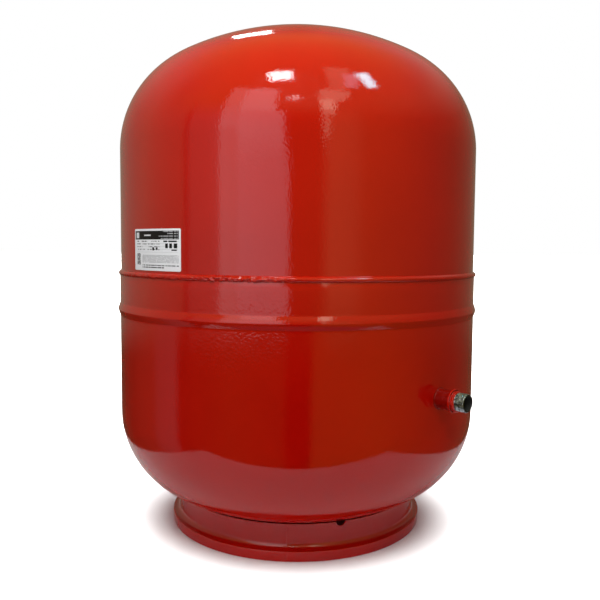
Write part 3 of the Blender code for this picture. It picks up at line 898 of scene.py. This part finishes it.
def make_spring():
    """A round wire coil with flattened pitch at both ends, squeezed as the pin goes down."""
    low, high = bottom_of("valve_spring"), top_of("valve_spring")
    wire_r, coil_r, turns, per_turn, sides = 0.00018, 0.00125, 5, 36, 12
    shape = bmesh.new()
    loops = []
    for t in levels(0.0, 1.0, turns * per_turn):
        eased = t - 0.11 * math.sin(math.tau * t) / math.tau * 2
        middle_z = low + wire_r + (high - low - 2 * wire_r) * eased
        wire = [round_at(wire_r, turn) for turn in levels(0.0, math.tau, sides)[:-1]]
        places = [on_vessel(coil_r + out, middle_z + up, turns * math.tau * t) for out, up in wire]
        loops.append([shape.verts.new(place) for place in places])
    skin(shape, loops, closed=False)
    spring = keep(finish_mesh("core_spring", shape, SPRING_STEEL, 60.0), "valve_spring")
    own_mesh(spring)


def make_dust_cap():
    bottom, top, outer = span("valve_dust_cap")
    inner_r, inside, ribs = 0.0042, top - 0.0010, 30
    section = [(0.0, top - 0.00025), (0.0028, top - 0.00025), (0.0031, top)]
    section += arc((outer - 0.0008, top - 0.0008), 0.0008, 90, 0, 6)
    section += run(section[-1], (outer, bottom + 0.0010), 6)
    section += [(outer - 0.0003, bottom + 0.0008), (outer - 0.0003, bottom), (inner_r + 0.0002, bottom)]
    section += run((inner_r, bottom + 0.0002), (inner_r, inside), 30) + [(0.0, inside)]

    def wobble(r, height, angle):
        if r > outer - 1e-5 and height < top - 0.0006:
            return r - 0.00022 * (0.5 - 0.5 * math.cos(angle * ribs)), height
        return r, height

    cap = turned("ribbed_dust_cap", section, PLASTIC, 240, wobble=wobble)
    keep(cap, "valve_dust_cap", body="dust_cap")

    low, high, outer = span("dust_cap_washer")
    section = [(0.0, high), (outer - 0.0001, high), (outer, high - 0.0001), (outer, low + 0.0001)]
    section += [(outer - 0.0001, low), (0.0029, low), (0.0026, low + 0.0001), (0.0, low + 0.0001)]
    keep(turned("cap_washer", section, RUBBER, SMALL_STEPS), "dust_cap_washer", body="cap_lift")


def make_cover():
    """A low moulded lid: a crown with a raised ring, a thin rim, and a skirt that plugs the well."""
    skirt_z, top, rim_r = span("valve_cover")
    skirt_r = WELL_R - 0.0006
    seat_z, scallops = 0.8146, 36
    outside = [(0.0, top - 0.0003), (0.006, top - 0.0004), (0.0075, top), (0.0100, top - 0.0001)]
    outside += [(0.0112, top - 0.0006), (0.018, top - 0.0012), (0.024, top - 0.0026), (0.029, top - 0.0043)]
    outside += [(0.033, top - 0.0062), (0.0365, top - 0.0084), (0.0395, top - 0.0101)]
    outside += [(0.0425, top - 0.0113)]
    outside += arc((rim_r - 0.0006, seat_z + 0.0004), 0.0006, 75, -90, 8)
    outside += [(skirt_r + 0.0012, seat_z - 0.0002), (skirt_r, seat_z - 0.0008)]
    outside += run(outside[-1], (skirt_r, skirt_z + 0.0012), 6) + [(skirt_r - 0.0010, skirt_z)]
    skirt_in = skirt_r - 0.0016
    inside = [(skirt_in + 0.0001, skirt_z), (skirt_in, skirt_z + 0.0003), (skirt_in, 0.8172)]
    inside += [(skirt_in - 0.0008, 0.8180), (0.030, 0.8205), (0.024, 0.8226), (0.017, 0.8241)]
    inside += [(0.009, 0.8250), (0.0, 0.8252)]

    def wobble(r, height, angle):
        """Grip scallops in the rim."""
        if r > rim_r - 0.0003:
            return r - 0.0005 * (0.5 - 0.5 * math.cos(angle * scallops)) ** 2, height
        return r, height

    cover = turned("valve_lid", outside + inside, PLASTIC, 288, wobble=wobble)
    keep(cover, "valve_cover", body="valve_cover")


# ---- diaphragm and label

def make_diaphragm():
    inside, wall = WALL + 0.0007, 0.003
    rim_z = top_of("diaphragm")
    inner_r = LOWER_R - inside - wall
    section = lower_dish(inside + wall)[::-1]
    section += run(section[-1], (inner_r, rim_z - 0.0005), 8) + [(inner_r + 0.0005, rim_z)]
    section += [(lower_wall_r(z) - inside, z) for z in levels(rim_z, BEAD_Z - 0.013, 24)]
    section += run(section[-1], (LOWER_R - inside, LOWER_TANGENT_Z), 6)[:-1]
    section += lower_dish(inside)
    rubber = turned("rubber_diaphragm", section, RUBBER, BODY_STEPS)
    keep(rubber, "diaphragm")
    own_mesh(rubber)


def make_clamp_ring():
    low, high, outer = span("diaphragm_clamp_ring")
    inner, corner = outer - 0.004, 0.001
    section = arc((inner + corner, high - corner), corner, 180, 90, 4)
    section += arc((outer - corner, high - corner), corner, 90, 0, 4)
    section += run(section[-1], (outer, low + corner), 6)[:-1]
    section += arc((outer - corner, low + corner), corner, 0, -90, 4)
    section += arc((inner + corner, low + corner), corner, -90, -180, 4)
    ring = turned("rim_clamp_ring", section, BARE_STEEL, BODY_STEPS)
    keep(ring, "diaphragm_clamp_ring")


def make_label():
    """A thin film with round corners, cut from flat and then wrapped on the shell."""
    low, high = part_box("rating_label")
    height = high.z - low.z
    inner_r = UPPER_R + 0.00005
    outer_r = inner_r + 0.00022
    half_angle = LABEL_WIDTH / 2 / (UPPER_R + 0.0003)
    width = 2 * half_angle * inner_r
    corner = 0.0022
    right, top = width - corner, height - corner
    outline = []
    for i, centre_of_turn in enumerate(((right, top), (corner, top), (corner, corner), (right, corner))):
        outline += arc(centre_of_turn, corner, 90 * i, 90 * i + 90, 6)
    shape = bmesh.new()
    shape.faces.new([shape.verts.new((x, 0.0, z)) for x, z in outline])
    for x in levels(0.0, width, 36)[1:-1]:
        geometry = shape.verts[:] + shape.edges[:] + shape.faces[:]
        bmesh.ops.bisect_plane(shape, geom=geometry, plane_co=(x, 0.0, 0.0), plane_no=(1.0, 0.0, 0.0))
    grown = bmesh.ops.extrude_face_region(shape, geom=shape.faces[:], use_keep_orig=True)
    moved = [item for item in grown["geom"] if isinstance(item, bmesh.types.BMVert)]
    bmesh.ops.translate(shape, verts=moved, vec=(0.0, 1.0, 0.0))
    uv = shape.loops.layers.uv.new("label")
    for face in shape.faces:
        for loop in face.loops:
            loop[uv].uv = (loop.vert.co.x / width, loop.vert.co.z / height)
    for vert in shape.verts:
        angle = LABEL_AZIMUTH - half_angle + vert.co.x / inner_r
        radius = outer_r if vert.co.y < 0.5 else inner_r
        vert.co = on_vessel(radius, low.z + vert.co.z, angle)
    label = finish_mesh("printed_rating_label", shape, LABEL, 40.0)
    keep(label, "rating_label")


# ---- studio

# Light fixtures in the ceiling, which only the gloss mirrors: right, away, width, length,
# radiance, turn in degrees
CEILING = {
    "ceiling_panel_front": (-0.31, -1.24, 0.42, 0.42, (24.0, 24.0, 24.0), 0.0),
    "ceiling_panel_back": (-0.43, 1.69, 0.36, 0.58, (12.0, 12.0, 12.0), 0.0),
    "ceiling_panel_far": (-0.10, -2.65, 0.30, 0.16, (17.0, 17.0, 17.0), 0.0),
    "skylight": (1.295, -0.93, 0.72, 0.26, (6.5, 17.0, 19.5), -40.0),
    "skylight_edge": (1.02, -1.20, 0.30, 0.70, (2.2, 2.0, 2.5), 20.0),
    "ceiling_glow": (0.74, -1.25, 0.42, 1.1, (1.0, 0.85, 0.62), 17.0),
    "ceiling_glow_near": (0.93, -2.22, 0.78, 0.80, (2.0, 1.75, 1.35), 12.0),
    "ceiling_glow_far": (1.05, -3.20, 0.55, 1.1, (2.0, 1.75, 1.35), 14.0),
}
# Tall pale areas, which only the gloss mirrors: azimuth in degrees, lowest and highest height,
# width, radiance
WALL_PANELS = {
    "opening_left_low": (-39.2, 0.12, 1.05, 0.50, (0.85, 0.80, 0.82)),
    "opening_left_high": (-39.2, 1.05, 3.05, 0.50, (1.20, 1.12, 1.15)),
    "opening_low": (-19.0, 0.12, 0.90, 1.30, (1.05, 1.00, 1.12)),
    "opening_middle": (-20.5, 0.90, 1.70, 1.16, (1.45, 1.42, 1.56)),
    "sunlit_corner": (17.2, 1.55, 2.35, 0.34, (1.9, 1.65, 1.25)),
    "sunlit_corner_low": (15.5, 0.95, 1.55, 0.15, (1.5, 1.3, 0.95)),
    "opening_high": (-23.2, 1.70, 3.05, 0.94, (1.90, 1.90, 2.10)),
}
# Soft lights that only the coat's own colour takes up: right, away, up, size, radiance
FILLS = {
    "top_soft": (-0.10, -0.30, 1.35, 0.8, 0.75),
    "near_high": (-0.10, -0.90, 1.30, 0.6, 7.50),
    "left_high": (-1.20, -0.60, 1.50, 0.8, 0.55),
    "right_high": (1.20, -0.60, 1.50, 0.8, 0.75),
    "left_soft": (-1.9, -1.3, 0.9, 1.2, 0.40),
    "back_high": (0.10, 1.10, 1.50, 0.8, 2.5),
}
CEILING_Z = 2.5
WALL_DISTANCE = 2.5
FILLS_AIM_Z = 0.4
AMBIENT = (0.275, 0.275, 0.275, 1.0)
WHITE = (1.0, 1.0, 1.0, 1.0)
# Radiance of the room by azimuth, where no fixture is mirrored: over eye level, under it, and
# well over it. Its deepest and its highest parts have one colour each
ROOM_HIGH = (
    (-180, 0.24, 0.21, 0.15), (-125, 0.36, 0.32, 0.24), (-107, 0.48, 0.42, 0.28), (-73, 0.44, 0.38, 0.25),
    (-71, 0.05, 0.04, 0.03), (-68, 0.46, 0.42, 0.34), (-55, 0.54, 0.49, 0.40), (-45, 0.74, 0.68, 0.62),
    (-9, 0.35, 0.30, 0.20), (-4, 0.22, 0.18, 0.06), (13, 0.24, 0.20, 0.06), (20, 0.68, 0.60, 0.22),
    (32, 0.62, 0.55, 0.20), (42, 0.40, 0.35, 0.10), (90, 0.22, 0.18, 0.09), (110, 0.19, 0.15, 0.08),
    (180, 0.24, 0.21, 0.15),
)
ROOM_LOW = (
    (-180, 0.09, 0.07, 0.04), (-125, 0.06, 0.04, 0.02), (-100, 0.14, 0.11, 0.06), (-95, 0.22, 0.19, 0.16),
    (-80, 0.32, 0.28, 0.26), (-76, 0.05, 0.04, 0.02), (-40, 0.14, 0.12, 0.03), (-8, 0.10, 0.08, 0.02),
    (-5, 0.0, 0.0, 0.0), (8, 0.0, 0.0, 0.0), (11, 0.26, 0.22, 0.04), (50, 0.28, 0.24, 0.04),
    (90, 0.15, 0.12, 0.04), (110, 0.10, 0.08, 0.04), (180, 0.09, 0.07, 0.04),
)
ROOM_CEILING = (
    (-180, 0.24, 0.19, 0.11), (-140, 0.50, 0.42, 0.34), (-110, 0.56, 0.46, 0.34), (-90, 0.45, 0.36, 0.20),
    (-60, 0.58, 0.50, 0.17), (60, 0.55, 0.48, 0.17), (100, 0.42, 0.36, 0.20), (150, 0.50, 0.44, 0.36),
    (180, 0.24, 0.19, 0.11),
)
ROOM_NADIR = (0.22, 0.19, 0.20)
ROOM_ZENITH = (0.56, 0.50, 0.17)
# Heights, as the sine of the elevation, over which one part of the room passes into the next
NADIR_EDGE = (-0.72, -0.64)
EYE_LEVEL = (-0.15, -0.07)
CEILING_EDGE = (0.34, 0.56)
ZENITH_EDGE = (0.70, 0.90)
# Strength and softness in degrees of the light that falls on the card, and on the floor
CARD_LIGHT = (0.08, 25.0)
FLOOR_LIGHT = (3.0, 60.0)


def make_floor():
    """A floor that only the camera sees, and just under it a card that only the gloss and the
    bounced light see."""
    material = surface("pale_floor", pale_floor)
    for name, half, height in (("mirrored_card", 0.50, -0.0005), ("studio_floor", 40.0, 0.0)):
        shape = bmesh.new()
        bmesh.ops.create_grid(shape, x_segments=8, y_segments=8, size=half)
        for vert in shape.verts:
            vert.co = studio(vert.co.x, vert.co.y, height)
        floor = finish_mesh(name, shape, material)
        card = name == "mirrored_card"
        floor.visible_glossy = card
        floor.visible_camera = not card
        floor.visible_diffuse = card
        floor.visible_shadow = False
        light_only(floor, *(CARD_LIGHT if card else FLOOR_LIGHT))


def panel(name, place, rotation, width, length, colour):
    """A soft light of an even radiance."""
    data = bpy.data.lights.new(name, "AREA")
    data.shape = "RECTANGLE"
    data.size = width
    data.size_y = length
    strongest = max(colour)
    data.color = [part / strongest for part in colour]
    data.energy = strongest * width * length * math.pi
    light = add_object(name, data)
    light.matrix_world = Matrix.Translation(place) @ rotation
    light.visible_camera = False
    return light


def facing(place, target):
    return (target - place).to_track_quat("-Z", "Y").to_matrix().to_4x4()


def light_only(floor, strength, softness):
    """Soft light from straight overhead, which falls on this piece of floor and on nothing else."""
    data = bpy.data.lights.new(f"{floor.name}_light", "SUN")
    data.energy = strength * math.pi
    data.angle = math.radians(softness)
    light = add_object(data.name, data)
    light.visible_glossy = False
    receivers = bpy.data.collections.new(f"{floor.name}_only")
    receivers.objects.link(floor)
    light.light_linking.receiver_collection = receivers


def make_lights():
    for name, (right, away, width, length, colour, turn) in CEILING.items():
        rotation = Matrix.Rotation(VIEW_AZIMUTH + math.radians(turn), 4, "Z")
        panel(name, studio(right, away, CEILING_Z), rotation, width, length, colour).visible_diffuse = False
    for name, (azimuth, low, high, width, colour) in WALL_PANELS.items():
        away, right = round_at(WALL_DISTANCE, math.radians(azimuth))
        place, centre = studio(right, -away, (low + high) / 2), studio(0.0, 0.0, (low + high) / 2)
        panel(name, place, facing(place, centre), width, high - low, colour).visible_diffuse = False
    for name, (right, away, up, size, strength) in FILLS.items():
        place, centre = studio(right, away, up), studio(0.0, 0.0, FILLS_AIM_Z)
        panel(name, place, facing(place, centre), size, size, (strength,) * 3).visible_glossy = False


def make_world():
    """White to the camera, an even dim light to the coat's colour, and a room to its gloss."""
    world = bpy.data.worlds.new("studio")
    bpy.context.scene.world = world
    world.use_nodes = True
    tree = world.node_tree
    tree.nodes.clear()
    place = add_node(tree, "TexCoord").outputs["Generated"]

    def toward(direction):
        return calculate(tree, "VectorMath", "DOT_PRODUCT", place, direction).outputs["Value"]

    def round_the_room(stops):
        ramp = add_node(tree, "ValToRGB", {"Fac": turn})
        points = ramp.color_ramp.elements
        while len(points) < len(stops):
            points.new(1.0)
        for point, (azimuth, *colour) in zip(points, stops):
            point.position = azimuth / 360 + 0.5
            point.color = (*colour, 1.0)
        return ramp.outputs["Color"]

    def over(edge, lower, higher):
        """The lower part of the room passes into the higher one at this edge."""
        return blend(tree, spread(tree, up, 0.0, 1.0, *edge), lower, higher)

    def background(colour):
        return add_node(tree, "Background", {"Color": colour}).outputs["Background"]

    def choose(ray, otherwise, seen):
        inputs = {"Fac": path.outputs[ray], 1: otherwise, 2: seen}
        return add_node(tree, "MixShader", inputs).outputs["Shader"]

    up = toward((0.0, 0.0, 1.0))
    azimuth = calculate(tree, "Math", "ARCTAN2", toward(RIGHT), toward(-AWAY)).outputs["Value"]
    turn = spread(tree, azimuth, 0.0, 1.0, -math.pi, math.pi)
    room = over(NADIR_EDGE, ROOM_NADIR, round_the_room(ROOM_LOW))
    room = over(EYE_LEVEL, room, round_the_room(ROOM_HIGH))
    room = over(CEILING_EDGE, room, round_the_room(ROOM_CEILING))
    room = over(ZENITH_EDGE, room, ROOM_ZENITH)
    path = add_node(tree, "LightPath")
    lit = choose("Is Glossy Ray", background(AMBIENT), background(room))
    add_node(tree, "OutputWorld", {"Surface": choose("Is Camera Ray", lit, background(WHITE))})
    bpy.context.scene.view_settings.view_transform = "Standard"


def make_camera():
    data = bpy.data.cameras.new("camera")
    data.sensor_width = 36.0
    data.lens = CAMERA_LENS
    camera = add_object("camera", data)
    turn = Matrix.Rotation(VIEW_AZIMUTH, 4, "Z") @ Matrix.Rotation(math.pi / 2 - CAMERA_PITCH, 4, "X")
    place = Matrix.Translation(studio(*CAMERA_PLACE))
    camera.matrix_world = place @ turn @ Matrix.Rotation(CAMERA_ROLL, 4, "Z")
    bpy.context.scene.camera = camera


make_upper_shell()
make_lower_shell()
make_girth_weld()
make_foot_ring()
make_foot_seam()
for tack in range(1, 5):
    make_tack_weld(tack)
make_socket()
make_socket_weld()
make_nipple_weld()
make_nipple()
make_boss()
make_boss_weld()
make_stem_gasket()
make_stem()
make_core()
make_pin()
make_spring()
make_dust_cap()
make_cover()
make_diaphragm()
make_clamp_ring()
make_label()
make_floor()
make_world()
make_lights()
make_camera()
